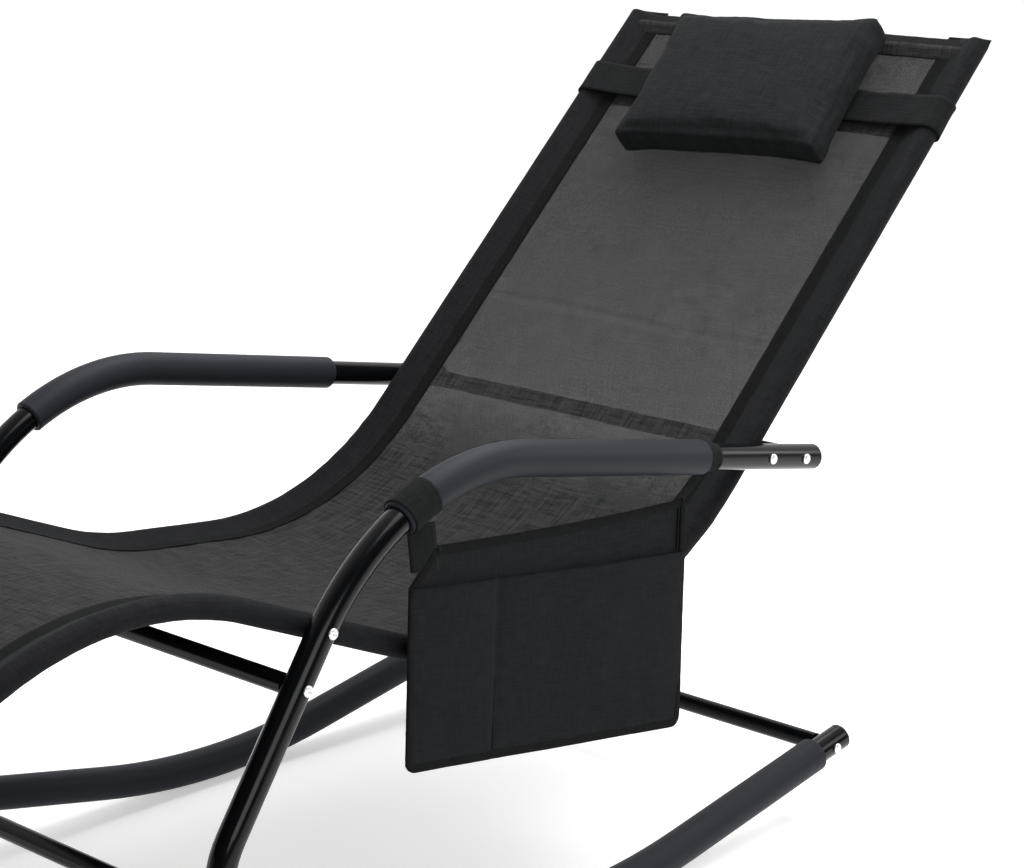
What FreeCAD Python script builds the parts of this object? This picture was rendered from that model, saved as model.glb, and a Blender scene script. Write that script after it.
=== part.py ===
import FreeCAD
import Part
import math
import os

os.makedirs("parts", exist_ok=True)

# Rocking chaise lounge, millimetres: +X toward the head, +Y across, +Z up from the floor.
# Each side is one bent tube: armrest, leg, front bend and rocker. The sling rails hang between the sides.

# Side loops
tubeRadius = 13.5
tubeWall = 1.2
loopHalfSpacing = 269.0      # middle of the chair to the axis of a side tube
armHeight = 468.0            # axis of the armrest at x = 0
armAngle = 9.5               # the armrest falls toward the head
legAngle = 56.0              # leg from the horizontal
armCornerX = -275.0          # where the armrest and leg lines meet
armBend = 280.0              # bend radii, on the tube axis
frontBend = 85.0
rockerBend = 900.0
rockerRise = 10.4            # slope of the straight runs before and behind the rocker bend
rockerMiddle = -7.0          # lowest point of the rocker, the floor contact
rockerReach = 440.5          # rear run, from the corner of the rocker bend to the tube end
armTail = 27.0               # last arm bolt to the tube end
rockerTail = 22.0            # rear bolt to the tube end

# Foam sleeves
foamRadius = 18.0
foamClearance = 0.3
armFoamLead = 166.0          # first bare length behind the grip, from the last bolt
armFoamLength = 450.0
rockerFoamLead = 24.0        # bare length between the rear bolt and the foam
rockerFoamLength = 784.0

# Sling rails
railRadius = 10.0
railWall = 1.2
seatCornerX = 127.0          # where the seat and back lines meet
seatCornerZ = 281.0
backAngle = 43.4
backLength = 786.0
seatAngle = 5.1
seatLength = 329.0
thighAngle = 20.8
thighLength = 423.0
footAngle = 28.0
footLength = 336.0
backBend = 367.0
thighBend = 380.0
kneeBend = 370.0

# Sling cloth
clothWall = 1.2              # tunnel cloth round a rail
clothClearance = 0.3
tunnelWidth = 40.0           # rail axis to the seam
seamWidth = 8.0
meshThickness = 1.0
spreaderRadius = 6.0
spreaderInset = 13.0         # spreader axis from the rail end
spreaderWall = 1.2
hemLength = 26.0

# Crossbars and bolts
barRadius = 9.5
barWall = 1.2
barPlugLength = 22.0
boltRadius = 3.0
boltHeadRadius = 5.5
boltHeadHeight = 3.2
boltClearance = 0.3
boltGrip = 12.0              # thread inside a crossbar
armBoltPitch = 59.0
legBoltPitch = 55.0
frontBoltTurn = 54.0         # degrees round the front bend, from the leg
seatGap = 0.3                # between pieces that seat on each other

# End plugs
plugDome = 4.5
plugRim = 1.5
plugStem = 12.0

# Head pillow and its strap
pillowWidth = 290.0
pillowLength = 206.0
pillowEdge = 34.0            # height of the pillow sides
pillowCrown = 12.0
pillowDraw = 6.0             # how far each side is drawn in
pillowBelowHead = 14.0       # pillow top edge from the rail ends
pillowShift = -7.0           # pillow off the middle, toward the near side
pillowTurn = 3.5             # the pillow lies a little askew
strapWidth = 45.0
strapThickness = 1.5
strapBelowHead = 111.0       # strap middle from the rail ends
strapLift = 6.0              # upper run of the strap above the rail axes
strapTuck = 16.0             # strap turns toward the rails this far outside the pillow

# Side pocket
pocketDrop = 42.5            # armrest axis to the pocket top edge
pocketBack = 130.0           # pocket rear edge to the first arm bolt
pocketLength = 407.0
pocketHeight = 229.0
pocketSlack = 8.0            # the rear side is longer
pocketTilt = 6.0             # the top edge rises toward the front
pocketSlant = 1.2            # the sides from upright
pocketDepth = 12.0
pocketCloth = 1.5
pocketLip = 54.0             # front panel opening below the top edge
pocketDivider = 0.30         # share of the length in the first compartment
pocketDip = 16.0             # the front end of the top edge hangs lower
pocketCorner = 38.0          # cut corner beside the leg
pocketRound = 12.0
rearBand = 18.0              # width of the hanging bands
frontBand = 38.0
bandCloth = 1.4
bandMargin = 2.0


def rad(a):
    return a * math.pi / 180.0


def unit(a):
    """Direction in the side plane, degrees from +X toward +Z."""
    return (math.cos(rad(a)), math.sin(rad(a)))


def add(p, d, k=1.0):
    return (p[0] + d[0] * k, p[1] + d[1] * k)


def meet(p, d, q, e):
    """Point where the line through p along d crosses the line through q along e."""
    det = d[0] * e[1] - d[1] * e[0]
    k = ((q[0] - p[0]) * e[1] - (q[1] - p[1]) * e[0]) / det
    return add(p, d, k)


def at(p, y):
    return FreeCAD.Vector(p[0], y, p[1])


# A path is a list of straight runs ("run", start, angle, length)
# and bends ("bend", centre, radius, start angle, sweep).
def pathLength(part):
    if part[0] == "run":
        return part[3]
    return part[2] * abs(rad(part[4]))


def pointOn(part, s):
    if part[0] == "run":
        return add(part[1], unit(part[2]), s)
    return add(part[1], unit(part[3] + math.copysign(s / part[2] / rad(1), part[4])), part[2])


def headingOn(part, s):
    if part[0] == "run":
        return part[2]
    turn = math.copysign(1.0, part[4])
    return part[3] + turn * s / part[2] / rad(1) + turn * 90.0


def trimmed(path, start, end):
    """The stretch of a path between two distances along it."""
    out = []
    s = 0.0
    for part in path:
        length = pathLength(part)
        a = max(start - s, 0.0)
        b = min(end - s, length)
        if b - a > 1e-6:
            if part[0] == "run":
                out.append(("run", pointOn(part, a), part[2], b - a))
            else:
                turn = math.copysign(1.0, part[4])
                step = turn / part[2] / rad(1)
                out.append(("bend", part[1], part[2], part[3] + a * step, (b - a) * step))
        s += length
    return out


def total(path):
    return sum(pathLength(part) for part in path)


def place(path, s):
    """Point and heading at a distance along a path."""
    for part in path:
        length = pathLength(part)
        if s <= length + 1e-6:
            return pointOn(part, s), headingOn(part, s)
        s -= length
    return pointOn(path[-1], length), headingOn(path[-1], length)


def filleted(points, radii):
    """Path through corner points, each inner corner bent to its radius."""
    out = []
    start = points[0]
    for i in range(1, len(points)):
        p = points[i]
        a = math.degrees(math.atan2(p[1] - start[1], p[0] - start[0]))
        if i == len(points) - 1:
            out.append(("run", start, a, math.dist(start, p)))
            break
        q = points[i + 1]
        b = math.degrees(math.atan2(q[1] - p[1], q[0] - p[0]))
        turn = (b - a + 180.0) % 360.0 - 180.0
        side = math.copysign(1.0, turn)
        r = radii[i - 1]
        back = r * math.tan(rad(abs(turn) / 2))
        tangent = add(p, unit(a), -back)
        centre = add(tangent, unit(a + 90.0 * side), r)
        out.append(("run", start, a, math.dist(start, tangent)))
        out.append(("bend", centre, r, a - 90.0 * side, turn))
        start = add(p, unit(b), back)
    return out


def swept(path, face):
    """Solid of a section carried along a path; face(point, heading) makes the section."""
    pieces = []
    for part in path:
        section = face(pointOn(part, 0), headingOn(part, 0))
        if part[0] == "run":
            d = unit(part[2])
            pieces.append(section.extrude(FreeCAD.Vector(d[0], 0, d[1]) * part[3]))
        else:
            axis = FreeCAD.Vector(0, -1, 0)
            pieces.append(section.revolve(at(part[1], 0), axis, part[4]))
    solid = pieces[0]
    if len(pieces) > 1:
        solid = pieces[0].multiFuse(pieces[1:]).removeSplitter()
    if solid.ShapeType == "Compound" and len(solid.Solids) == 1:
        solid = solid.Solids[0]
    if solid.Volume < 0:
        solid.reverse()
    return solid


def ring(outer, inner, y):
    """Section maker for a round tube at one y."""
    def face(point, heading):
        d = unit(heading)
        axis = FreeCAD.Vector(d[0], 0, d[1])
        rims = [Part.Wire(Part.makeCircle(outer, at(point, y), axis))]
        rims.append(Part.Wire(Part.makeCircle(inner, at(point, y), axis)))
        return Part.makeFace(rims, "Part::FaceMakerBullseye")
    return face


def drop(radius, reach, thickness, y, side):
    """Wire maker: a rail tunnel section, round over the rail and flat to the seam."""
    span = math.hypot(reach, thickness / 2)
    lean = math.acos(radius / span) - math.atan2(thickness / 2, reach)
    touch = math.pi - lean

    def wire(point, heading):
        n = unit(heading + 90.0)

        def spot(u, v):
            return at(add(point, n, v), y - side * u)
        ta = spot(-radius * math.cos(touch), radius * math.sin(touch))
        tb = spot(-radius * math.cos(touch), -radius * math.sin(touch))
        ea = spot(reach, thickness / 2)
        eb = spot(reach, -thickness / 2)
        cap = Part.Arc(ta, spot(-radius, 0), tb).toShape()
        return Part.Wire([Part.makeLine(ea, ta), cap, Part.makeLine(tb, eb), Part.makeLine(eb, ea)])
    return wire


def tunnelFace(side):
    y = side * railHalfSpacing
    tail = 2 * clothWall
    slope = clothWall * (tunnelWidth / seamWidth - 1)
    hollow = tail * (railRadius + clothClearance) / tunnelRadius
    outer = drop(tunnelRadius, tunnelWidth, tail, y, side)
    inner = drop(railRadius + clothClearance, tunnelWidth - seamWidth, hollow + slope * 0.4, y, side)

    def face(point, heading):
        rims = [outer(point, heading), inner(point, heading)]
        return Part.makeFace(rims, "Part::FaceMakerBullseye")
    return face


def ribbon(thickness, half):
    """Section maker for a flat band as wide as the seams allow."""
    def face(point, heading):
        n = unit(heading + 90.0)
        a = add(point, n, thickness / 2)
        b = add(point, n, -thickness / 2)
        corners = [at(a, -half), at(a, half), at(b, half), at(b, -half), at(a, -half)]
        return Part.Face(Part.makePolygon(corners))
    return face


def rod(point, radius, y0, y1):
    """Cylinder across the chair."""
    return Part.makeCylinder(radius, y1 - y0, at(point, y0), FreeCAD.Vector(0, 1, 0))


# Places worked out from the sizes above
tunnelRadius = railRadius + clothClearance + clothWall
railHalfSpacing = loopHalfSpacing - tubeRadius - seatGap - tunnelRadius
seatCorner = (seatCornerX, seatCornerZ)
headEnd = add(seatCorner, unit(backAngle), backLength)
thighCorner = add(seatCorner, unit(180.0 - seatAngle), seatLength)
kneeCorner = add(thighCorner, unit(180.0 - thighAngle), thighLength)
footEnd = add(kneeCorner, unit(180.0 + footAngle), footLength)
railPath = filleted([footEnd, kneeCorner, thighCorner, seatCorner, headEnd], [kneeBend, thighBend, backBend])
railLength = total(railPath)

armLine = ((0.0, armHeight), unit(180.0 - armAngle))
armCorner = (armCornerX, armHeight - armCornerX * math.tan(rad(armAngle)))
legDirection = unit(legAngle)
armBolt = meet(armLine[0], armLine[1], seatCorner, unit(backAngle))
backBolt = add(armBolt, unit(-armAngle), armBoltPitch)
armEnd = add(backBolt, unit(-armAngle), armTail)
legBolt = meet(armCorner, legDirection, thighCorner, unit(180.0 - thighAngle))
seatBolt = add(legBolt, legDirection, -legBoltPitch)


def loopSidePath():
    """Side tube axis, from the armrest end to the rocker end."""
    depth = rockerBend * (1 / math.cos(rad(rockerRise)) - 1)
    rockerCorner = (rockerMiddle, foamRadius - depth)
    frontCorner = meet(armCorner, legDirection, rockerCorner, unit(180.0 - rockerRise))
    rearEnd = add(rockerCorner, unit(rockerRise), rockerReach)
    corners = [armEnd, armCorner, frontCorner, rockerCorner, rearEnd]
    return filleted(corners, [armBend, frontBend, rockerBend])


loopPath = loopSidePath()
loopLength = total(loopPath)
rearBolt = place(loopPath, loopLength - rockerTail)[0]
frontBolt = pointOn(loopPath[3], rad(frontBoltTurn) * frontBend)
barHalf = loopHalfSpacing - tubeRadius - seatGap


def sideLoop(side):
    """Bent side tube with its bolt holes."""
    y = side * loopHalfSpacing
    loop = swept(loopPath, ring(tubeRadius, tubeRadius - tubeWall, y))
    for bolt in (armBolt, backBolt, legBolt, seatBolt, frontBolt, rearBolt):
        hole = rod(bolt, boltRadius + boltClearance, y - tubeRadius - 2, y + tubeRadius + 2)
        loop = loop.cut(hole)
    return loop


def foam(path, side):
    """Foam sleeve on part of a side tube, its end edges rounded over."""
    y = side * loopHalfSpacing
    sleeve = swept(path, ring(foamRadius, tubeRadius + foamClearance, y))
    ends = []
    for edge in sleeve.Edges:
        if isinstance(edge.Curve, Part.Circle) and abs(edge.Curve.Radius - foamRadius) < 1e-4:
            for s in (0.0, total(path)):
                if (edge.CenterOfMass - at(place(path, s)[0], y)).Length < 0.01:
                    ends.append(edge)
    return sleeve.makeChamfer((foamRadius - tubeRadius) * 0.4, ends)


def armFoam(side):
    start = armTail + armFoamLead
    return foam(trimmed(loopPath, start, start + armFoamLength), side)


def rockerFoam(side):
    end = loopLength - rockerTail - rockerFoamLead
    return foam(trimmed(loopPath, end - rockerFoamLength, end), side)


def slingRail(side):
    """Bent rail with the holes that take its two bolts."""
    y = side * railHalfSpacing
    rail = swept(railPath, ring(railRadius, railRadius - railWall, y))
    for bolt in (armBolt, legBolt):
        rail = rail.cut(rod(bolt, boltRadius + boltClearance, min(y, y + side * 20), max(y, y + side * 20)))
    return rail


def slingTunnel(side):
    """Closed cloth tunnel round a rail, open over its bolts and beside the spreaders."""
    tunnel = swept(railPath, tunnelFace(side))
    y = side * railHalfSpacing
    for bolt in (armBolt, legBolt):
        hole = rod(bolt, boltRadius + 2 * boltClearance, min(y, y + side * 20), max(y, y + side * 20))
        tunnel = tunnel.cut(hole)
    inner = railHalfSpacing - railRadius - clothClearance
    for s, heading in ((0.0, 1.0), (railLength, -1.0)):
        spot, angle = place(railPath, s)
        block = Part.makeBox(2 * hemLength, 2 * inner, 60)
        block.translate(FreeCAD.Vector(-hemLength, -inner, -30))
        block.rotate(FreeCAD.Vector(0, 0, 0), FreeCAD.Vector(0, 1, 0), -angle)
        block.translate(at(spot, 0))
        tunnel = tunnel.cut(block)
    return tunnel


def slingMesh():
    """See-through seat and back cloth between the two seams."""
    half = railHalfSpacing - tunnelWidth - clothClearance
    path = trimmed(railPath, hemLength, railLength - hemLength)
    return swept(path, ribbon(meshThickness, half))


def spreader(s):
    """Thin tube that holds the rail ends apart, hidden in the hem."""
    spot = place(railPath, s)[0]
    half = railHalfSpacing - railRadius - seatGap
    tube = rod(spot, spreaderRadius, -half, half)
    return tube.cut(rod(spot, spreaderRadius - spreaderWall, -half - 1, half + 1))


def hem(atHead):
    """Cloth folded round a spreader and sewn to the end of the mesh."""
    s = railLength - spreaderInset if atHead else spreaderInset
    toward = 1.0 if atHead else -1.0
    spot, angle = place(railPath, s)
    inner = spreaderRadius + clothClearance
    outer = inner + clothWall
    half = railHalfSpacing - railRadius - 2 * clothClearance
    d = unit(angle)
    n = unit(angle + 90.0)
    reach = hemLength - spreaderInset - clothClearance
    tube = rod(spot, outer, -half, half)
    low = add(add(spot, d, -toward * reach), n, -clothWall)
    high = add(add(spot, d, -toward * reach), n, clothWall)
    top = add(spot, n, outer)
    bottom = add(spot, n, -outer)
    tail = Part.Face(Part.makePolygon([at(p, -half) for p in (low, high, top, bottom, low)]))
    tail = tail.extrude(FreeCAD.Vector(0, 2 * half, 0))
    return tube.fuse(tail).cut(rod(spot, inner, -half - 1, half + 1)).removeSplitter()


def crossbar(bolt):
    """Tube between the side loops, its ends filled to take a bolt."""
    bar = rod(bolt, barRadius, -barHalf, barHalf)
    core = barHalf - barPlugLength
    bar = bar.cut(rod(bolt, barRadius - barWall, -core, core))
    thread = boltRadius + boltClearance
    for side in (-1, 1):
        deep = side * (barHalf - barPlugLength)
        edge = side * (barHalf + 1)
        bar = bar.cut(rod(bolt, thread, min(deep, edge), max(deep, edge)))
    return bar


def domed(outline, rise):
    """Solid turned about +Y: (radius, height) points from the axis out, then a round dome back to the axis."""
    radius, rim = outline[-1]
    ball = (radius ** 2 + rise ** 2) / (2 * rise)
    half = math.asin(radius / ball) / 2
    crest = FreeCAD.Vector(ball * math.sin(half), rim + rise - ball + ball * math.cos(half), 0)
    tip = FreeCAD.Vector(0, rim + rise, 0)
    pts = [FreeCAD.Vector(a, b, 0) for a, b in outline]
    sides = [Part.makeLine(a, b) for a, b in zip(pts, pts[1:])]
    dome = Part.Arc(pts[-1], crest, tip).toShape()
    face = Part.Face(Part.Wire(sides + [dome, Part.makeLine(tip, pts[0])]))
    return face.revolve(FreeCAD.Vector(0, 0, 0), FreeCAD.Vector(0, 1, 0), 360)


def bolt(spot, side, reach):
    """Domed bolt from outside a side tube inward; reach is the y of its tip."""
    seat = loopHalfSpacing + tubeRadius + seatGap
    length = seat - reach
    rim = boltHeadHeight * 0.35
    outline = [(0, -length), (boltRadius, -length), (boltRadius, 0), (boltHeadRadius, 0), (boltHeadRadius, rim)]
    shape = domed(outline, boltHeadHeight - rim)
    if side < 0:
        shape.rotate(FreeCAD.Vector(0, 0, 0), FreeCAD.Vector(1, 0, 0), 180)
    shape.translate(at(spot, side * seat))
    return shape


def crossbarBolts():
    tip = barHalf - boltGrip
    spots = (backBolt, seatBolt, frontBolt, rearBolt)
    return Part.makeCompound([bolt(p, side, tip) for p in spots for side in (-1, 1)])


def railBolts():
    tip = railHalfSpacing + railRadius * 0.3
    return Part.makeCompound([bolt(p, side, tip) for p in (armBolt, legBolt) for side in (-1, 1)])


def plug(path, atEnd, radius, wall, y):
    """Domed plastic plug in a tube end."""
    spot, heading = place(path, total(path) if atEnd else 0.0)
    if not atEnd:
        heading += 180.0
    bore = radius - wall - seatGap
    shape = domed([(0, -plugStem), (bore, -plugStem), (bore, 0), (radius, 0), (radius, plugRim)], plugDome)
    d = unit(heading)
    turn = FreeCAD.Rotation(FreeCAD.Vector(0, 1, 0), FreeCAD.Vector(d[0], 0, d[1]))
    shape.Placement = FreeCAD.Placement(at(add(spot, d, seatGap), y), turn)
    return shape


def loopPlugs():
    ends = [(atEnd, side) for atEnd in (False, True) for side in (-1, 1)]
    return Part.makeCompound([plug(loopPath, e, tubeRadius, tubeWall, s * loopHalfSpacing) for e, s in ends])


def railPlugs():
    ends = [(atEnd, side) for atEnd in (False, True) for side in (-1, 1)]
    return Part.makeCompound([plug(railPath, e, railRadius, railWall, s * railHalfSpacing) for e, s in ends])


def onBack(shape, belowHead):
    """Lay a shape built in (along the back, across, out of the back) onto the rails."""
    shape.rotate(FreeCAD.Vector(0, 0, 0), FreeCAD.Vector(0, 1, 0), -backAngle)
    shape.translate(at(add(headEnd, unit(backAngle), -belowHead), 0))
    return shape


def drawnOutline(length, width, draw, z):
    """Closed outline with four sides bowed inward."""
    a, b = length / 2, width / 2
    corners = [(-a, -b), (a, -b), (a, b), (-a, b)]
    middles = [(0, -b + draw), (a - draw, 0), (0, b - draw), (-a + draw, 0)]
    edges = []
    for i in range(4):
        p = FreeCAD.Vector(corners[i][0], corners[i][1], z)
        m = FreeCAD.Vector(middles[i][0], middles[i][1], z)
        q = FreeCAD.Vector(corners[(i + 1) % 4][0], corners[(i + 1) % 4][1], z)
        edges.append(Part.Arc(p, m, q).toShape())
    return Part.Wire(edges)


def headPillow():
    """Boxed pillow: drawn-in sides and a crowned top."""
    floor = strapLift + strapThickness + 2 * clothClearance
    height = pillowEdge + pillowCrown
    body = Part.Face(drawnOutline(pillowLength, pillowWidth, pillowDraw, floor))
    body = body.extrude(FreeCAD.Vector(0, 0, height))
    reach = math.hypot(pillowLength, pillowWidth) / 2
    crown = (reach ** 2 + pillowCrown ** 2) / (2 * pillowCrown)
    dome = Part.makeSphere(crown, FreeCAD.Vector(0, 0, floor + height - crown))
    body = body.common(dome)
    uprights = [e for e in body.Edges if e.Length < height and abs(e.BoundBox.ZLength - e.Length) < 0.01]
    body = body.makeFillet(pillowDraw * 2, uprights)
    body.rotate(FreeCAD.Vector(0, 0, 0), FreeCAD.Vector(0, 0, 1), pillowTurn)
    body.translate(FreeCAD.Vector(0, pillowShift, 0))
    return onBack(body, pillowBelowHead + pillowLength / 2)


def pillowStrap():
    """Elastic band: under the pillow, over both rails and across behind the sling."""
    gap = clothClearance
    inside = tunnelRadius + gap
    low = strapLift
    tuck = pillowWidth / 2 + strapTuck
    rail = railHalfSpacing
    reach = math.hypot(rail - tuck, low)
    lean = math.acos(inside / reach) - math.atan2(low, rail - tuck)
    touch = math.pi - lean

    def spot(y, n):
        return FreeCAD.Vector(0, y, n)
    edges = []
    touchY = rail + inside * math.cos(touch)
    touchN = inside * math.sin(touch)
    edges.append(Part.makeLine(spot(-tuck, low), spot(tuck, low)))
    edges.append(Part.makeLine(spot(tuck, low), spot(touchY, touchN)))
    edges.append(Part.Arc(spot(touchY, touchN), spot(rail + inside, 0), spot(rail, -inside)).toShape())
    edges.append(Part.makeLine(spot(rail, -inside), spot(-rail, -inside)))
    edges.append(Part.Arc(spot(-rail, -inside), spot(-rail - inside, 0), spot(-touchY, touchN)).toShape())
    edges.append(Part.makeLine(spot(-touchY, touchN), spot(-tuck, low)))
    innerRim = Part.Wire(edges)
    outerRim = innerRim.makeOffset2D(strapThickness)
    band = Part.makeFace([outerRim, innerRim], "Part::FaceMakerBullseye")
    band = band.extrude(FreeCAD.Vector(strapWidth, 0, 0))
    return onBack(band, strapBelowHead + strapWidth / 2)


def pocketFrame():
    """Rear top corner of the pocket and its two directions in the side plane."""
    rear = add(armBolt, unit(180.0 - armAngle), pocketBack)
    corner = add(rear, unit(-90.0), pocketDrop)
    return corner, unit(180.0 - pocketTilt), unit(-90.0 - pocketSlant)


def pocketSpot(forward, down):
    corner, along, below = pocketFrame()
    return add(add(corner, along, forward), below, down)


def pocketFloor(forward, inset=0.0):
    """Point on the bottom edge, or a little above it."""
    return pocketSpot(forward, pocketHeight + pocketSlack * (1 - forward / pocketLength) - inset)


def panel(outline, y, thickness):
    wire = Part.makePolygon([at(p, y) for p in outline] + [at(outline[0], y)])
    return Part.Face(wire).extrude(FreeCAD.Vector(0, thickness, 0))


def pocketOutline():
    """Pocket outline from its rear top corner down, round the bottom and up to the cut corner."""
    b = pocketLength
    k = pocketRound
    pts = [pocketSpot(0.0, 0.0), pocketFloor(0.0, k), pocketFloor(k), pocketFloor(b - k), pocketFloor(b, k)]
    pts.append(pocketSpot(b, pocketDip + pocketCorner))
    pts.append(pocketSpot(b - pocketCorner, pocketDip))
    return pts


def sidePocket():
    """Hanging pocket: tall back panel, lower front panel and two compartments."""
    y = -loopHalfSpacing + pocketCloth / 2 - pocketDepth
    bag = panel(pocketOutline(), y, pocketDepth)
    a = pocketCloth
    lip = panel([pocketSpot(-5, -5), pocketSpot(pocketLength + 5, -5), pocketSpot(pocketLength + 5, pocketLip),
                 pocketSpot(-5, pocketLip)], y - 1, pocketDepth - a + 1)
    bag = bag.cut(lip)
    split = pocketLength * (1 - pocketDivider)
    k = pocketRound
    rooms = ((a * 2, split - a / 2), (split + a / 2, pocketLength - a * 2))
    for near, far in rooms:
        room = [pocketSpot(near, -5), pocketFloor(near, a * 2 + k), pocketFloor(near + k, a * 2)]
        room += [pocketFloor(far - k, a * 2), pocketFloor(far, a * 2 + k), pocketSpot(far, -5)]
        bag = bag.cut(panel(room, y + a, pocketDepth - 2 * a))
    return bag


def hangingBand(s, width, radius, below, ends):
    """Band looped round the near side tube, its tail sewn to the pocket edge between two points."""
    spot, heading = place(loopPath, s)
    y = -loopHalfSpacing
    band = swept(trimmed(loopPath, s - width / 2, s + width / 2), ring(radius + bandCloth, radius, y))
    along = unit(heading)
    down = unit(heading + 90.0)
    knee = add(spot, down, below)
    w = width / 2
    strip = [add(spot, along, w), add(spot, along, -w), add(add(knee, along, -w), down, w)]
    strip += [ends[0], ends[1], add(knee, along, w)]
    tail = panel(strip, y - bandCloth / 2, bandCloth)

    def core(point, turn):
        d = unit(turn)
        rim = Part.makeCircle(radius + bandCloth / 2, at(point, y), FreeCAD.Vector(d[0], 0, d[1]))
        return Part.Face(Part.Wire(rim))
    tail = tail.cut(swept(trimmed(loopPath, s - width, s + width), core))
    return band.fuse(tail).removeSplitter()


def pocketBands():
    """Rear band on the bare tube behind the grip, front band over the grip's front end."""
    grip = armTail + armFoamLead
    under = foamRadius + 2 * clothClearance
    rearEnds = [pocketSpot(bandMargin, -seatGap), pocketSpot(bandMargin + rearBand, -seatGap)]
    back = hangingBand(grip - rearBand / 2 - bandMargin, rearBand, tubeRadius + clothClearance, under, rearEnds)
    corner = pocketCorner - seatGap
    frontEnds = [pocketSpot(pocketLength - pocketCorner + bandMargin, pocketDip + bandMargin - 2 * seatGap)]
    frontEnds.append(pocketSpot(pocketLength - bandMargin, pocketDip + corner - bandMargin - seatGap))
    nose = grip + armFoamLength - frontBand / 2 - bandMargin
    front = hangingBand(nose, frontBand, foamRadius + clothClearance, under + bandCloth, frontEnds)
    return Part.makeCompound([back, front])


nodes = {
    "side_loop_near": sideLoop(-1),
    "side_loop_far": sideLoop(1),
    "arm_foam_near": armFoam(-1),
    "arm_foam_far": armFoam(1),
    "rocker_foam_near": rockerFoam(-1),
    "rocker_foam_far": rockerFoam(1),
    "sling_rail_near": slingRail(-1),
    "sling_rail_far": slingRail(1),
    "sling_tunnel_near": slingTunnel(-1),
    "sling_tunnel_far": slingTunnel(1),
    "sling_mesh": slingMesh(),
    "head_spreader": spreader(railLength - spreaderInset),
    "foot_spreader": spreader(spreaderInset),
    "head_hem": hem(True),
    "foot_hem": hem(False),
    "back_crossbar": crossbar(backBolt),
    "seat_crossbar": crossbar(seatBolt),
    "front_crossbar": crossbar(frontBolt),
    "rear_crossbar": crossbar(rearBolt),
    "crossbar_bolts": crossbarBolts(),
    "rail_bolts": railBolts(),
    "loop_plugs": loopPlugs(),
    "rail_plugs": railPlugs(),
    "head_pillow": headPillow(),
    "pillow_strap": pillowStrap(),
    "side_pocket": sidePocket(),
    "pocket_bands": pocketBands(),
}

# The origin lies on the floor under the middle of the whole chair, which ends at the rail plugs
tips = [v.x for v in nodes["rail_plugs"].tessellate(0.05)[0]]
middle = (min(tips) + max(tips)) / 2
for name, shape in nodes.items():
    shape.translate(FreeCAD.Vector(-middle, 0, 0))
    shape.exportStep("parts/" + name + ".step")
    box = shape.BoundBox
    print(name, shape.isValid(), len(shape.Solids), round(shape.Volume), [round(v) for v in (
        box.XMin, box.XMax, box.YMin, box.YMax, box.ZMin, box.ZMax)])
print("shift", middle, "arm bolt", armBolt, "head", headEnd, "foot", footEnd)
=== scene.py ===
import bpy
import math
import numpy as np
from mathutils import Matrix, Vector, noise


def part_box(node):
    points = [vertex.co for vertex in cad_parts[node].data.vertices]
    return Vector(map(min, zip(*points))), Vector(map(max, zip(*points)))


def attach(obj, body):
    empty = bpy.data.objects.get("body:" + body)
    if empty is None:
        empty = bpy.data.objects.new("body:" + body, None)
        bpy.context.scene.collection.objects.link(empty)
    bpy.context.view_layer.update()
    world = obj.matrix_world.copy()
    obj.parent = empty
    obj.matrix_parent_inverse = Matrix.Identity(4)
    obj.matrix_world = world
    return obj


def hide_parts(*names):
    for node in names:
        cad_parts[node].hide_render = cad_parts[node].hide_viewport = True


# Rocking chaise lounge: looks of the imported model, metres. +X toward the head, +Y across, +Z up.
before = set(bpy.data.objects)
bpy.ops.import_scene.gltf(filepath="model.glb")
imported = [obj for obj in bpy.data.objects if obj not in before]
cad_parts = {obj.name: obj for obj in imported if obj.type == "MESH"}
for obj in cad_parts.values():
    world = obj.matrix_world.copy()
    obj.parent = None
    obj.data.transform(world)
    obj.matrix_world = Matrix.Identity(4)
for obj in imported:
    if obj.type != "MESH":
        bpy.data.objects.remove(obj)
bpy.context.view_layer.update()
print("stage: frame loaded")


# Colour from an sRGB hex text, made linear once here
def colour(text, alpha=1.0):
    values = [int(text[i:i + 2], 16) / 255 for i in (1, 3, 5)]
    return tuple(v / 12.92 if v <= 0.04045 else ((v + 0.055) / 1.055) ** 2.4 for v in values) + (alpha,)


# Adds a node; an input given as a socket is linked, any other value is set
def addNode(tree, kind, inputs=None, **settings):
    made = tree.nodes.new(kind)
    for key, value in settings.items():
        setattr(made, key, value)
    for key, value in (inputs or {}).items():
        if isinstance(value, bpy.types.NodeSocket):
            tree.links.new(value, made.inputs[key])
        else:
            made.inputs[key].default_value = value
    return made


def math1(tree, operation, a, b=0.0, clamp=False):
    return addNode(tree, "ShaderNodeMath", {0: a, 1: b}, operation=operation, use_clamp=clamp).outputs[0]


# New material with its shader; constants go straight to the shader's sockets
def newMaterial(name, values):
    made = bpy.data.materials.new(name)
    made.use_nodes = True
    tree = made.node_tree
    shader = tree.nodes["Principled BSDF"]
    for key, value in values.items():
        shader.inputs[key].default_value = value
    return made, tree, shader


def mixColour(tree, share, first, second):
    made = addNode(tree, "ShaderNodeMix", data_type="RGBA")
    for socket, value in ((made.inputs[0], share), (made.inputs[6], first), (made.inputs[7], second)):
        if isinstance(value, bpy.types.NodeSocket):
            tree.links.new(value, socket)
        else:
            socket.default_value = value
    return made.outputs[2]


def noiseAt(tree, coords, scale, detail=2.0, rough=0.5, stretch=None):
    if stretch:
        coords = addNode(tree, "ShaderNodeMapping", {"Vector": coords, "Scale": stretch}).outputs[0]
    made = addNode(tree, "ShaderNodeTexNoise", {"Vector": coords, "Scale": scale, "Detail": detail,
                                                "Roughness": rough})
    return made.outputs["Fac"]


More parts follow.
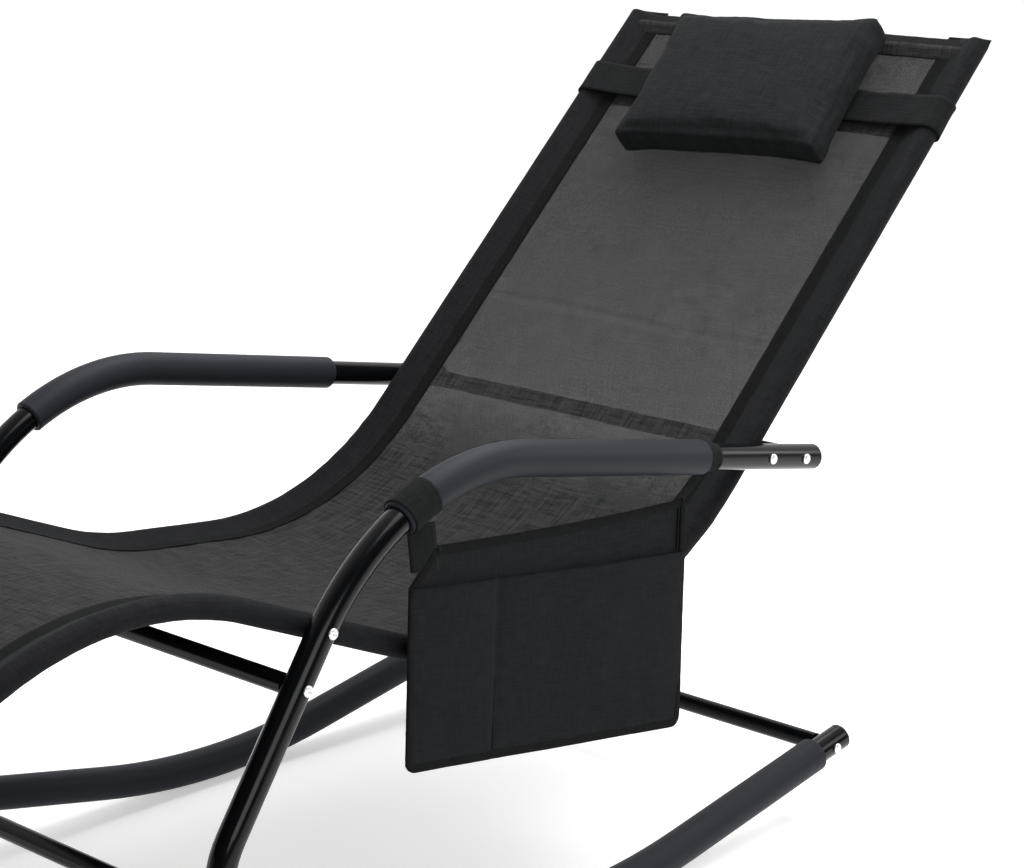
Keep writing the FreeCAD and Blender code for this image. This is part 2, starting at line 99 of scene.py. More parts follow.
def bump(tree, shader, height, distance, strength=1.0):
    made = addNode(tree, "ShaderNodeBump", {"Height": height, "Distance": distance, "Strength": strength})
    tree.links.new(made.outputs[0], shader.inputs["Normal"])
    return made


# Plain weave from two sets of round threads that cross over and under; sizes in metres
def weave(tree, coords, pitchA, pitchB):
    split = addNode(tree, "ShaderNodeSeparateXYZ", {0: coords}).outputs
    a = math1(tree, "ABSOLUTE", math1(tree, "SINE", math1(tree, "MULTIPLY", split[0], math.pi / pitchA)))
    b = math1(tree, "ABSOLUTE", math1(tree, "SINE", math1(tree, "MULTIPLY", split[1], math.pi / pitchB)))
    cell = addNode(tree, "ShaderNodeCombineXYZ", {0: math1(tree, "MULTIPLY", split[0], 1 / pitchA),
                                                  1: math1(tree, "MULTIPLY", split[1], 1 / pitchB), 2: 0.5})
    over = addNode(tree, "ShaderNodeTexChecker", {"Vector": cell.outputs[0], "Scale": 1.0}).outputs["Fac"]
    one = math1(tree, "MULTIPLY", a, over)
    two = math1(tree, "MULTIPLY", b, math1(tree, "SUBTRACT", 1.0, over))
    return a, b, math1(tree, "ADD", one, two)


steel = {
    "base": "#07080a",
    "peel": 0.0012,          # size of the orange peel
    "peelDepth": 0.00001,
}


# Powder-coated steel tube, glossy black: a hard clear sheen over a faint orange peel,
# so highlights run along it
def powderCoat():
    made, tree, shader = newMaterial("black powder coated steel", {
        "Base Color": colour(steel["base"]), "Roughness": 0.2, "Specular IOR Level": 0.17})
    coords = addNode(tree, "ShaderNodeTexCoord").outputs["Object"]
    peel = noiseAt(tree, coords, 1 / steel["peel"], 2.0)
    worn = noiseAt(tree, coords, 14.0, 4.0)
    rough = addNode(tree, "ShaderNodeMapRange", {"Value": worn, "From Min": 0.3, "From Max": 0.75,
                                                 "To Min": 0.14, "To Max": 0.24}).outputs[0]
    tree.links.new(rough, shader.inputs["Roughness"])
    bump(tree, shader, peel, steel["peelDepth"], 0.5)
    return made


foamLook = {
    "base": "#212328",
    "pale": "#292b31",
    "cell": 0.0009,          # size of the foam's skin cells
    "cellDepth": 0.00006,
}


# Closed-cell foam sleeve, moulded: soft charcoal with a slightly blue, fine-celled skin
def gripFoam():
    made, tree, shader = newMaterial("moulded foam grip", {
        "Roughness": 0.5, "Specular IOR Level": 0.12, "Specular Tint": colour("#dfe4f0")})
    coords = addNode(tree, "ShaderNodeTexCoord").outputs["Object"]
    cells = noiseAt(tree, coords, 1 / foamLook["cell"], 3.0, 0.6)
    broad = noiseAt(tree, coords, 9.0, 3.0)
    tint = mixColour(tree, broad, colour(foamLook["base"]), colour(foamLook["pale"]))
    tree.links.new(tint, shader.inputs["Base Color"])
    rough = addNode(tree, "ShaderNodeMapRange", {"Value": cells, "To Min": 0.42, "To Max": 0.6}).outputs[0]
    tree.links.new(rough, shader.inputs["Roughness"])
    bump(tree, shader, cells, foamLook["cellDepth"], 0.45)
    return made


clothLooks = {
    "mesh": {"dark": "#050606", "light": "#3b3c3b", "pitch": (0.0013, 0.0013), "hole": 0.28, "depth": 0.00045,
             "slub": (300.0, 24.0), "open": (1.0, 1.24)},
    "hem": {"dark": "#0e0f0f", "light": "#3a3b3a", "pitch": (0.0013, 0.0013), "depth": 0.00035},
    "tunnel": {"dark": "#060708", "light": "#1b1c1f", "pitch": (0.0013, 0.0013), "depth": 0.0003},
    # dark tape cloth: real binding on the hems and the pocket, and painted shade on the flat seams of the
    # tunnels
    "tapeAndPaintedShade": {"dark": "#050606", "light": "#0f1011", "pitch": (0.0008, 0.0016), "depth": 0.00025},
    "pillow": {"dark": "#131515", "light": "#252728", "pitch": (0.0008, 0.0008), "depth": 0.0002},
    "webbing": {"dark": "#0d0e0e", "light": "#1d1e1f", "pitch": (0.0011, 0.0022), "depth": 0.0004},
    "pocket": {"dark": "#0e0f11", "light": "#1e2022", "pitch": (0.0007, 0.0007), "depth": 0.0002},
}


# Plain-woven polyester on UVs in metres: threads with slubs along and across give the eye the linen look.
# With "hole" the gaps between the threads are open, as in sling mesh.
def wovenCloth(name, look, rough=0.8, sheen=0.05, objectSpace=False):
    made, tree, shader = newMaterial(name, {
        "Roughness": rough, "Specular IOR Level": 0.1, "Sheen Weight": sheen, "Sheen Roughness": 0.45,
        "Sheen Tint": colour("#8a9098")})
    if objectSpace:
        coords = addNode(tree, "ShaderNodeTexCoord").outputs["Object"]
        lean = (0, math.radians(backAngle), 0)
        coords = addNode(tree, "ShaderNodeMapping", {"Vector": coords, "Rotation": lean}).outputs[0]
    else:
        coords = addNode(tree, "ShaderNodeUVMap").outputs[0]
    a, b, height = weave(tree, coords, *look["pitch"])
    across, along = look.get("slub", (420.0, 34.0))
    slubA = noiseAt(tree, coords, 1.0, 3.0, 0.65, (across, along, 1.0))
    slubB = noiseAt(tree, coords, 1.0, 3.0, 0.65, (along, across, 1.0))
    slub = math1(tree, "MULTIPLY", math1(tree, "ADD", slubA, slubB), 0.5)
    slub = addNode(tree, "ShaderNodeMapRange", {"Value": slub, "From Min": 0.4, "From Max": 0.6}).outputs[0]
    broad = noiseAt(tree, coords, 22.0, 3.0)
    share = math1(tree, "ADD", math1(tree, "MULTIPLY", height, 0.3), math1(tree, "MULTIPLY", slub, 0.62))
    share = math1(tree, "ADD", share, math1(tree, "MULTIPLY", broad, 0.1), True)
    tint = mixColour(tree, share, colour(look["dark"]), colour(look["light"]))
    tree.links.new(tint, shader.inputs["Base Color"])
    raised = math1(tree, "ADD", height, math1(tree, "MULTIPLY", slub, 0.8))
    bump(tree, shader, raised, look["depth"], 0.55)
    if "hole" in look:
        # drawn open on the back and closed over the seat and thighs, where open holes flicker at this angle
        run = addNode(tree, "ShaderNodeSeparateXYZ", {0: coords}).outputs[0]
        closed, opened = look["open"]
        edge = addNode(tree, "ShaderNodeMapRange", {
            "Value": run, "From Min": closed, "From Max": opened,
            "To Max": math.sin(math.pi * look["hole"] / 2)}).outputs[0]
        open1 = math1(tree, "LESS_THAN", a, edge)
        open2 = math1(tree, "LESS_THAN", b, edge)
        solid = math1(tree, "SUBTRACT", 1.0, math1(tree, "MULTIPLY", open1, open2))
        tree.links.new(solid, shader.inputs["Alpha"])
    return made


# Zinc-plated bolt steel, turned and pressed: bright with a soft blur and faint rings of wear
def zinc():
    made, tree, shader = newMaterial("zinc plated steel", {
        "Base Color": colour("#e4e5e6"), "Metallic": 0.85, "Roughness": 0.32})
    coords = addNode(tree, "ShaderNodeTexCoord").outputs["Object"]
    scratch = noiseAt(tree, coords, 900.0, 3.0, 0.6)
    rough = addNode(tree, "ShaderNodeMapRange", {"Value": scratch, "To Min": 0.24, "To Max": 0.45}).outputs[0]
    tree.links.new(rough, shader.inputs["Roughness"])
    bump(tree, shader, scratch, 0.00002, 0.5)
    return made


# Injection-moulded plastic of the end plugs: satin black with a fine spark-eroded grain
def mouldedPlastic():
    made, tree, shader = newMaterial("moulded black plastic", {
        "Base Color": colour("#0c0d0e"), "Roughness": 0.4, "Specular IOR Level": 0.5})
    coords = addNode(tree, "ShaderNodeTexCoord").outputs["Object"]
    grain = noiseAt(tree, coords, 1600.0, 2.0)
    bump(tree, shader, grain, 0.00003, 0.6)
    return made


# Side view line of the sling rails, sizes as in the frame
sling = {
    "seatCorner": (127.0, 281.0),
    "back": (43.4, 786.0),
    "seat": (5.1, 329.0),
    "thigh": (20.8, 423.0),
    "foot": (28.0, 336.0),
    "bends": (370.0, 380.0, 367.0),
    "railRadius": 10.0,
    "tunnelRadius": 11.6,
}
mm = 0.001
backAngle = sling["back"][0]


def toward(angle):
    return np.array([math.cos(math.radians(angle)), math.sin(math.radians(angle))])


def cumulative(points):
    return np.concatenate([[0], np.cumsum(np.linalg.norm(np.diff(points, axis=0), axis=1))])


# Points, headings and lengths along straight runs joined by round bends
def bentLine(corners, radii, step=3.0):
    spots = []
    headings = []
    start = corners[0]
    for i in range(1, len(corners)):
        a = math.atan2(*(corners[i] - start)[::-1])
        stop = corners[i]
        turn = 0.0
        if i < len(corners) - 1:
            b = math.atan2(*(corners[i + 1] - corners[i])[::-1])
            turn = (b - a + math.pi) % (2 * math.pi) - math.pi
            back = radii[i - 1] * math.tan(abs(turn) / 2)
            stop = corners[i] - toward(math.degrees(a)) * back
        count = max(2, int(np.linalg.norm(stop - start) / step))
        for k in range(count):
            spots.append(start + (stop - start) * k / count)
            headings.append(a)
        if turn:
            side = math.copysign(1.0, turn)
            centre = stop + toward(math.degrees(a) + 90 * side) * radii[i - 1]
            count = max(4, int(radii[i - 1] * abs(turn) / step))
            for k in range(count):
                t = a + turn * k / count
                spots.append(centre + toward(math.degrees(t) - 90 * side) * radii[i - 1])
                headings.append(t)
            start = corners[i] + toward(math.degrees(b)) * back
        else:
            spots.append(stop)
            headings.append(a)
    spots = np.array(spots)
    return {"s": cumulative(spots), "x": spots[:, 0], "z": spots[:, 1], "a": np.unwrap(headings)}


def slingLine():
    seat = np.array(sling["seatCorner"])
    head = seat + toward(sling["back"][0]) * sling["back"][1]
    thigh = seat + toward(180 - sling["seat"][0]) * sling["seat"][1]
    knee = thigh + toward(180 - sling["thigh"][0]) * sling["thigh"][1]
    foot = knee + toward(180 + sling["foot"][0]) * sling["foot"][1]
    line = bentLine([foot, knee, thigh, seat, head], sling["bends"])
    reach = head[0] + sling["railRadius"] * math.sin(math.radians(backAngle))
    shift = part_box("sling_rail_near")[1][0] / mm - reach      # the frame's X against the floor contact
    line["x"] = line["x"] + shift
    return line, shift


railLine, frameShift = slingLine()
railLength = railLine["s"][-1]
railY = -(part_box("sling_rail_near")[0][1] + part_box("sling_rail_near")[1][1]) / 2 / mm


# Point at a distance along a line, moved out of it by n; arrays in millimetres, result in metres
def onLine(line, s, y, n):
    x = np.interp(s, line["s"], line["x"])
    z = np.interp(s, line["s"], line["z"])
    a = np.interp(s, line["s"], line["a"])
    return np.stack(np.broadcast_arrays(x - np.sin(a) * n, y, z + np.cos(a) * n), axis=-1) * mm


# The same, running straight on past both ends of the line
def onPast(line, s, y, n):
    over = np.where(s < 0, s, np.maximum(s - line["s"][-1], 0)) * mm
    a = np.interp(s, line["s"], line["a"])
    return onLine(line, s, y, n) + np.stack([over * np.cos(a), over * 0, over * np.sin(a)], axis=-1)


# Smooth noise for arrays, about -1 to 1, the same each run
def ripple(a, b, seed=0.0):
    flat = [noise.noise(Vector((float(p), float(q), seed))) for p, q in zip(np.ravel(a), np.ravel(b))]
    return np.reshape(flat, np.shape(a))


def placed(name, data):
    piece = bpy.data.objects.new(name, data)
    bpy.context.scene.collection.objects.link(piece)
    return piece


# Mesh over a grid of points; a closed direction joins its last row to its first
def gridMesh(name, points, uvA, uvB, material, closeA=False, closeB=False, caps=False):
    countA, countB = points.shape[:2]
    rowsA = countA if closeA else countA - 1
    rowsB = countB if closeB else countB - 1
    ia, ib = np.meshgrid(np.arange(rowsA), np.arange(rowsB), indexing="ij")
    ia, ib = ia.ravel(), ib.ravel()
    ja, jb = (ia + 1) % countA, (ib + 1) % countB
    faces = [ia * countB + ib, ja * countB + ib, ja * countB + jb, ia * countB + jb]
    faces = np.stack(faces, axis=1).tolist()
    u0, u1, v0, v1 = uvA[ia], uvA[ia + 1], uvB[ib], uvB[ib + 1]
    corners = np.stack([u0, v0, u1, v0, u1, v1, u0, v1], axis=1).reshape(-1, 2) * mm
    if caps:
        faces += [list(range(countB))[::-1], [(countA - 1) * countB + k for k in range(countB)]]
        corners = np.concatenate([corners, np.zeros((2 * countB, 2))])
    made = bpy.data.meshes.new(name)
    made.from_pydata(points.reshape(-1, 3).tolist(), [], faces)
    layer = made.uv_layers.new(name="UVMap")
    layer.data.foreach_set("uv", corners.ravel())
    made.polygons.foreach_set("use_smooth", [True] * len(made.polygons))
    made.update()
    made.materials.append(material)
    return placed(name, made)


# Joins meshes into the first one
def joined(pieces, name):
    bpy.ops.object.select_all(action="DESELECT")
    for piece in pieces:
        piece.select_set(True)
    bpy.context.view_layer.objects.active = pieces[0]
    bpy.ops.object.join()
    pieces[0].name = name
    pieces[0].data.name = name
    return pieces[0]


# Gives the faces along the chosen points of a section a second material
def paintColumns(piece, material, chosen, rows):
    piece.data.materials.append(material)
    columns = np.arange((rows - 1) * len(chosen)) % len(chosen)
    index = np.zeros(len(piece.data.polygons), dtype=np.int32)
    index[:len(columns)] = chosen[columns]
    piece.data.polygons.foreach_set("material_index", index)


# Section of a flat strip: its upper face, then back along its lower one
def flatSection(width, thickness, count):
    steps = np.linspace(-1, 1, count)
    upper = [(t * width / 2, thickness / 2) for t in steps]
    return np.array(upper + [(t * width / 2, -thickness / 2) for t in steps[::-1]])


# Closed section swept along a route, given its width direction and its face normal there
def sweptMesh(name, route, across, normal, shape, lengths, material):
    wide = across[:, None, :] * shape[None, :, :1]
    points = route[:, None, :] + wide + normal[:, None, :] * shape[None, :, 1:]
    uvB = np.append(shape[:, 0], shape[0, 0])
    return gridMesh(name, points * mm, lengths, uvB, material, closeB=True, caps=True)


def tangents(route):
    slope = np.gradient(route, axis=0)
    return slope / np.linalg.norm(slope, axis=1)[:, None]


# Mesh sling
clothSize = {
    "hem": 26.0,             # length of the hems at both ends
    "overlap": 3.0,          # how far the mesh runs under the seam tape
    "gap": 0.18,             # between the upper and lower threads
    "sag": 3.0,
    "seatSag": 3.0,          # more of it at the seat
    "seatReach": 190.0,
    "knee": 345.0,           # top of the knee from the foot end
    "kneeReach": 110.0,
    "crease": 444.0,         # fold left by the box, from the rail ends
    "creaseDepth": 0.9,
}


def meshHeight(s, y, half):
    seatAt = railLength - sling["back"][1] - 20
    seatFold = np.exp(-((s - seatAt) / clothSize["seatReach"]) ** 2)
    across = 1 - (y / half) ** 2
    n = -across * (clothSize["sag"] + clothSize["seatSag"] * seatFold)
    edge = np.exp(-(half - np.abs(y)) / 22)
    n = n + edge * (0.35 + 0.9 * seatFold) * ripple(s / 17, np.sign(y) * 3.0 + y * 0.01, 1.3)
    knee = np.exp(-((s - clothSize["knee"]) / clothSize["kneeReach"]) ** 2)
    n = n + 0.6 * (1 - 0.85 * knee) * ripple(s / 120, y / 90, 4.1)
    n = n + 0.08 * knee * ripple(s / 9, y / 900, 2.9)
    fold = s - (railLength - clothSize["crease"]) - 2.5 * np.sin(y / 70)
    return n - clothSize["creaseDepth"] * np.exp(-(fold / 3.0) ** 2)


def slingCloth(material):
    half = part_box("sling_mesh")[1][1] / mm + clothSize["overlap"]
    s = np.linspace(clothSize["hem"] - 6, railLength - clothSize["hem"] + 6, 420)
    y = np.linspace(-half, half, 61)
    grid, across = np.meshgrid(s, y, indexing="ij")
    n = meshHeight(grid, across, half)
    top = onLine(railLine, grid, across, n + clothSize["gap"] / 2)
    low = onLine(railLine, grid, across, n - clothSize["gap"] / 2)
    ringed = np.concatenate([top, low[:, ::-1]], axis=1)
    around = np.concatenate([y, y[::-1], y[:1]])
    piece = gridMesh("slingCloth", ringed, s, around, material, closeB=True, caps=True)
    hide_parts("sling_mesh")
    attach(piece, "chair")
    return piece


# Rail tunnels: cloth sleeve over the rail, sewn flat along its inner edge; that flat seam is drawn in the
# darker tape cloth as painted shade
tunnelSize = {
    "width": 41.5,           # rail axis to the inner edge of the flat seam
    # width of the flat seam that is drawn in the darker tape cloth: painted shade
    "tapeAndPaintedShade": 16.0,
    "flat": 1.1,             # half thickness of the seam
    "pucker": 0.8,
    "past": 9.0,             # cloth past each rail end, pinched flat over the plug
    "pinchFrom": 2.5,
}


def tunnelSection():
    r = sling["tunnelRadius"]
    seam = tunnelSize["width"] - tunnelSize["tapeAndPaintedShade"]
    span = math.hypot(seam, tunnelSize["flat"])
    lean = math.acos(r / span) - math.atan2(tunnelSize["flat"], seam)
    arc = np.linspace(lean, 2 * math.pi - lean, 41)
    rounds = np.stack([r * np.cos(arc), r * np.sin(arc)], axis=1)
    flat = np.stack([np.linspace(tunnelSize["width"], seam, 6), np.full(6, tunnelSize["flat"])], axis=1)
    slope = np.linspace(flat[-1], rounds[0], 8)[1:-1]
    mirror = np.array([1, -1])
    return np.concatenate([flat, slope, rounds, (slope * mirror)[::-1], (flat * mirror)[::-1]])


def slingTunnel(side, cloth, edge):
    section = tunnelSection()
    s = np.linspace(-tunnelSize["past"], railLength + tunnelSize["past"], 580)
    around = cumulative(section)
    normal = np.stack([np.gradient(section[:, 1]), -np.gradient(section[:, 0])], axis=1)
    normal = normal / np.linalg.norm(normal, axis=1)[:, None]
    grid, k = np.meshgrid(s, np.arange(len(section)), indexing="ij")
    u, n = section[k, 0], section[k, 1]
    bend = np.abs(np.gradient(np.interp(s, railLine["s"], railLine["a"]), s)) * sling["bends"][0]
    pull = np.interp(grid, s, np.convolve(bend, np.ones(15) / 15, mode="same"))
    wave = ripple(grid / 13, np.full_like(u, side * 5.0) + around[k] * 0.012, 7.7)
    sharp = -np.abs(ripple(grid / 31, np.full_like(u, side * 2.0) + around[k] * 0.02, 2.2)) + 0.25
    loose = np.exp(-((np.abs(u) - 12) / 14) ** 2)
    lift = tunnelSize["pucker"] * (0.12 + 0.55 * pull) * (0.5 * wave + 1.1 * sharp * loose)
    lift = lift + 0.25 * ripple(grid / 45, around[k] / 18, side * 3.3)
    lift = np.clip(lift, -0.9, 0.9)
    u = u + normal[k, 0] * lift
    n = n + normal[k, 1] * lift
    first, last = tunnelSize["pinchFrom"], tunnelSize["past"]
    pinch = np.clip((np.maximum(-grid, grid - railLength) - first) / (last - first), 0, 1)
    pinch = pinch * pinch * (3 - 2 * pinch)
    n = n * (1 - 0.9 * pinch)
    u = np.where(u < 0, u * (1 + 0.16 * pinch), u)
    points = onPast(railLine, grid, side * (railY - u), n)
    name = "slingTunnel" + ("Near" if side < 0 else "Far")
    piece = gridMesh(name, points, s, np.append(around, around[-1] + 2.4), cloth, closeB=True, caps=True)
    # the flat seam takes the darker tape cloth: painted shade, not a separate tape
    paintedShadeSeam = np.abs(section[:, 1]) <= tunnelSize["flat"] + 1e-6
    paintedShadeSeam &= section[:, 0] > tunnelSize["width"] - tunnelSize["tapeAndPaintedShade"] + 1e-6
    paintColumns(piece, edge, paintedShadeSeam, len(s))
    node = "sling_tunnel_" + ("near" if side < 0 else "far")
    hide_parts(node)
    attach(piece, "chair")
    return piece


# Hems: the sling's end folded over a thin tube, sewn down inside it and to a flat lip at the very edge
hemSize = {
    "centre": 13.0,          # thin tube from the rail end
    "roll": 7.4,
    "lip": 18.0,             # from the tube's centre out to the edge
    "tail": 12.5,
    "dark": 3.0,             # the edge tape shows from here outward
}


def hemRoll(atHead, cloth, edge):
    node = "head_hem" if atHead else "foot_hem"
    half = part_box(node)[1][1] / mm + 1.0
    r, lip, tail = hemSize["roll"], hemSize["lip"], hemSize["tail"]
    first, last = math.acos(r / lip), math.pi - math.acos(r / tail)
    arc = np.linspace(first, last, 16)
    upper = [(lip, 0.6), (lip * 0.8 + r * math.cos(first) * 0.2, 0.6 + 0.2 * r * math.sin(first))]
    upper += [(r * math.cos(t), r * math.sin(t)) for t in arc] + [(-tail * 0.9, 1.6), (-tail, 0.9)]
    upper = np.array(upper)
    section = np.concatenate([upper, (upper * [1, -1])[::-1]])
    y = np.linspace(-half, half, 150)
    grid, k = np.meshgrid(y, np.arange(len(section)), indexing="ij")
    wave = 0.3 * ripple(grid / 14, cumulative(section)[k] / 16, 9.0)
    out = section[k, 0] + wave
    s = railLength - hemSize["centre"] + out if atHead else hemSize["centre"] - out
    points = onPast(railLine, s, grid, section[k, 1] * (1 + wave * 0.05) + wave * 0.3)
    around = cumulative(section)
    name = "hemRoll" + ("Head" if atHead else "Foot")
    piece = gridMesh(name, points, y, np.append(around, around[-1] + 2), cloth, closeB=True, caps=True)
    paintColumns(piece, edge, section[:, 0] > hemSize["dark"], len(y))
    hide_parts(node)
    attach(piece, "chair")
    return piece


# Head pillow: boxed cushion blown up by a cloth simulation, then its seams sewn in
pillow = {
    "length": 206.0,         # along the back
    "width": 290.0,
    "belowHead": 14.0,
    "shift": -7.0,
    "turn": 3.5,             # lies a little askew, degrees
    "low": 8.1,              # underside above the rail line
    "edge": 36.0,            # height of the sides
    "grows": (6.0, 2.0),     # how much the simulation adds to the sides and the height
    "crown": 9.0,
    "draw": 0.008,           # how far the sides pull in between the corners
    "piping": 1.6,           # raised seam round the top panel
    "voxel": 0.0045,
    "pressure": 4.0,
    "cap": 7.0,              # furthest that the simulation may move a point
    "seam": 0.9,             # depth of the seam line
}


def pillowStart():
    wide, high = pillow["grows"]
    length, width, edge = pillow["length"] - wide, pillow["width"] - wide, pillow["edge"] - high
    rows = 24
    steps = -1 + 2 * np.arange(rows + 1) / rows
    a, b = np.meshgrid(steps, steps, indexing="ij")
    x = a * length / 2 * (1 - pillow["draw"] * (1 - b ** 2))
    y = b * width / 2 * (1 - pillow["draw"] * (1 - a ** 2))
    crown = (1 - a ** 4) * (1 - b ** 4)
    upper = np.stack([x, y, edge / 2 + pillow["crown"] * crown], axis=-1)
    lower = np.stack([x, y, np.full_like(x, -edge / 2)], axis=-1)
    count = (rows + 1) ** 2
    index = np.arange(count).reshape(rows + 1, rows + 1)
    faces = []
    for i in range(rows):
        for j in range(rows):
            quad = [index[i, j], index[i + 1, j], index[i + 1, j + 1], index[i, j + 1]]
            faces.append([int(q) for q in quad])
            faces.append([int(q) + count for q in quad[::-1]])
    rim = list(index[0, :]) + list(index[1:, -1]) + list(index[-1, :-1][::-1]) + list(index[1:-1, 0][::-1])
    for k in range(len(rim)):
        p, q = int(rim[k]), int(rim[(k + 1) % len(rim)])
        faces.append([p, q, q + count, p + count])
    made = bpy.data.meshes.new("headPillow")
    made.from_pydata((np.concatenate([upper.reshape(-1, 3), lower.reshape(-1, 3)]) * mm).tolist(), [], faces)
    made.update()
    return placed("headPillow", made)


def meshPoints(piece):
    flat = np.empty(len(piece.data.vertices) * 3)
    piece.data.vertices.foreach_get("co", flat)
    return flat.reshape(-1, 3)


def setPoints(piece, points):
    piece.data.vertices.foreach_set("co", np.ravel(points))
    piece.data.update()


# Runs the cloth and keeps each point within the cap of where it started
def blownUp(piece):
    scene = bpy.context.scene
    bpy.context.view_layer.objects.active = piece
    piece.select_set(True)
    remesh = piece.modifiers.new("remesh", "REMESH")
    remesh.mode = "VOXEL"
    remesh.voxel_size = pillow["voxel"]
    bpy.ops.object.modifier_apply(modifier="remesh")
    start = meshPoints(piece).copy()
    cloth = piece.modifiers.new("cloth", "CLOTH")
    cloth.settings.use_pressure = True
    cloth.settings.uniform_pressure_force = pillow["pressure"]
    cloth.settings.effector_weights.gravity = 0
    cloth.settings.quality = 5
    cloth.settings.tension_stiffness = 25
    cloth.settings.compression_stiffness = 12
    cloth.settings.bending_stiffness = 0.4
    for number in range(1, 21):
        scene.frame_set(number)
    bpy.context.view_layer.update()
    bpy.ops.object.modifier_apply(modifier="cloth")
    scene.frame_set(1)
    moved = meshPoints(piece) - start
    size = np.linalg.norm(moved, axis=1)
    limit = np.minimum(1.0, pillow["cap"] * mm / np.maximum(size, 1e-9))
    setPoints(piece, start + moved * limit[:, None])
    return start


# Seam lines round the top and bottom panels, gathers along them, and long soft creases
def pillowDetail(piece, start):
    points = meshPoints(piece)
    normals = np.empty(len(points) * 3)
    piece.data.vertices.foreach_get("normal", normals)
    normals = normals.reshape(-1, 3)
    wide, high = pillow["grows"]
    half = np.array([pillow["length"] - wide, pillow["width"] - wide]) / 2
    edge = (pillow["edge"] - high) / 2
    x, y, z = (start / mm).T
    # distance from each panel's border, zero on the seam
    inside = np.minimum(half[0] - np.abs(x), half[1] - np.abs(y))
    border = np.hypot(np.maximum(inside - 3.5, 0), np.abs(np.abs(z) - edge + 1.0))
    line = np.exp(-(border / 2.4) ** 2)
    groove = np.exp(-((border - 6.0) / 2.6) ** 2)
    along = np.where(half[0] - np.abs(x) < half[1] - np.abs(y), y, x)
    gather = ripple(along / 6.0, np.sign(x) + np.sign(y) * 2, 3.1)
    near = np.exp(-np.abs(border) / 12.0) * (np.abs(z) < edge + 14)
    low = x < -half[0] * 0.3     # the lower side is gathered most
    lift = pillow["piping"] * line - pillow["seam"] * groove + np.where(low, 1.3, 0.5) * gather * near
    lift = lift + 0.7 * ripple(y / 60, z / 5, 7.7) * (np.abs(y) > half[1] - 5)
    lift = lift + 0.8 * ripple(x / 55, y / 70, 5.5) + 0.35 * ripple(x / 22, y / 25, 8.1)
    setPoints(piece, points + normals * (lift * mm)[:, None])


def headPillow(material):
    piece = pillowStart()
    start = blownUp(piece)
    pillowDetail(piece, start)
    points = meshPoints(piece)
    depth = (points[:, 2] - points[:, 2].min()) / mm
    # the underside lies flat on the strap
    flat = np.where(depth < 3.0, 3.0 + (depth - 3.0) * 0.2, depth)
    turn = math.radians(pillow["turn"])
    along = (points[:, 0] * math.cos(turn) - points[:, 1] * math.sin(turn)) / mm
    across = (points[:, 0] * math.sin(turn) + points[:, 1] * math.cos(turn)) / mm
    s = railLength - pillow["belowHead"] - pillow["length"] / 2 + along
    laid = onLine(railLine, s, across + pillow["shift"], pillow["low"] + flat - 2.4)
    setPoints(piece, laid)
    smooth = piece.modifiers.new("smooth", "SUBSURF")
    smooth.levels = 1
    smooth.render_levels = 1
    piece.data.polygons.foreach_set("use_smooth", [True] * len(piece.data.polygons))
    piece.data.materials.append(material)
    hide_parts("head_pillow")
    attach(piece, "pillow")
    return piece


# Elastic strap: comes out under the pillow, climbs over each tunnel and runs behind the sling
strap = {
    "width": 45.0,
    "thickness": 1.5,
    "belowHead": 111.0,
    "tuck": 161.0,
    "lift": 6.75,            # its middle over the rail axes, under the pillow
}


def pillowStrap(material):
    r = sling["tunnelRadius"] + 0.9 + strap["thickness"] / 2
    low = strap["lift"]
    reach = math.hypot(railY - strap["tuck"], low)
    lean = math.acos(r / reach) - math.atan2(low, railY - strap["tuck"])
    arc = np.linspace(math.pi - lean, -math.pi / 2, 26)
    half = [(0.0, low), (60.0, low), (120.0, low), (strap["tuck"] - 6, low)]
    climbY = railY + r * math.cos(arc[0]) - strap["tuck"]
    climbN = r * math.sin(arc[0]) - low
    half += [(strap["tuck"] + t * climbY, low + t * climbN) for t in (0.1, 0.35, 0.6, 0.85)]
    half += [(railY + r * math.cos(t), r * math.sin(t)) for t in arc]
    half += [(y, -r) for y in (200.0, 150.0, 100.0, 50.0, 0.0)]
    half = np.array(half)
    full = np.concatenate([half, (half * [-1, 1])[::-1][1:-1]])
    full = np.concatenate([full, full[:1]])
    fine = np.linspace(0, cumulative(full)[-1], 260)
    y = np.interp(fine, cumulative(full), full[:, 0])
    n = np.interp(fine, cumulative(full), full[:, 1])
    tangent = tangents(np.stack([y, n], axis=1))
    out = np.stack([-tangent[:, 1], tangent[:, 0]], axis=1)
    shape = flatSection(strap["width"], strap["thickness"], 11)
    k, m = np.meshgrid(np.arange(len(fine) - 1), np.arange(len(shape)), indexing="ij")
    curl = 0.8 * ripple(fine[k] / 40, shape[m, 0] / 30, 6.6) + 0.5 * (np.abs(shape[m, 0]) / 20) ** 3
    curl = np.maximum(curl, -0.2)
    bow = 1.2 * ripple(fine[k] / 80, np.zeros_like(fine[k]), 1.1)
    s = railLength - strap["belowHead"] + shape[m, 0] + bow
    rise = shape[m, 1] + curl
    points = onLine(railLine, s, y[k] + out[k, 0] * rise, n[k] + out[k, 1] * rise)
    uvB = np.append(shape[:, 0], shape[0, 0])
    piece = gridMesh("pillowStrap", points, fine, uvB, material, closeA=True, closeB=True)
    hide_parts("pillow_strap")
    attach(piece, "pillow")
    return piece


# Side pocket: back panel, a lower front panel in two compartments and black binding all round
pocket = {
    "rear": (-130.0, -42.5),     # rear top corner from the arm bolt: along the armrest, then down
    "length": 407.0,
    "height": 229.0,
    "slack": 8.0,                # the rear side is longer
    "tilt": 6.0,
    "slant": 1.2,
    "dip": 16.0,                 # the front end of the top edge hangs lower
    "corner": 38.0,
    "round": 12.0,
    "lip": 54.0,
    "divider": 0.70,
    "binding": 9.0,
    "bulge": 4.5,
    "y": -269.0,
}


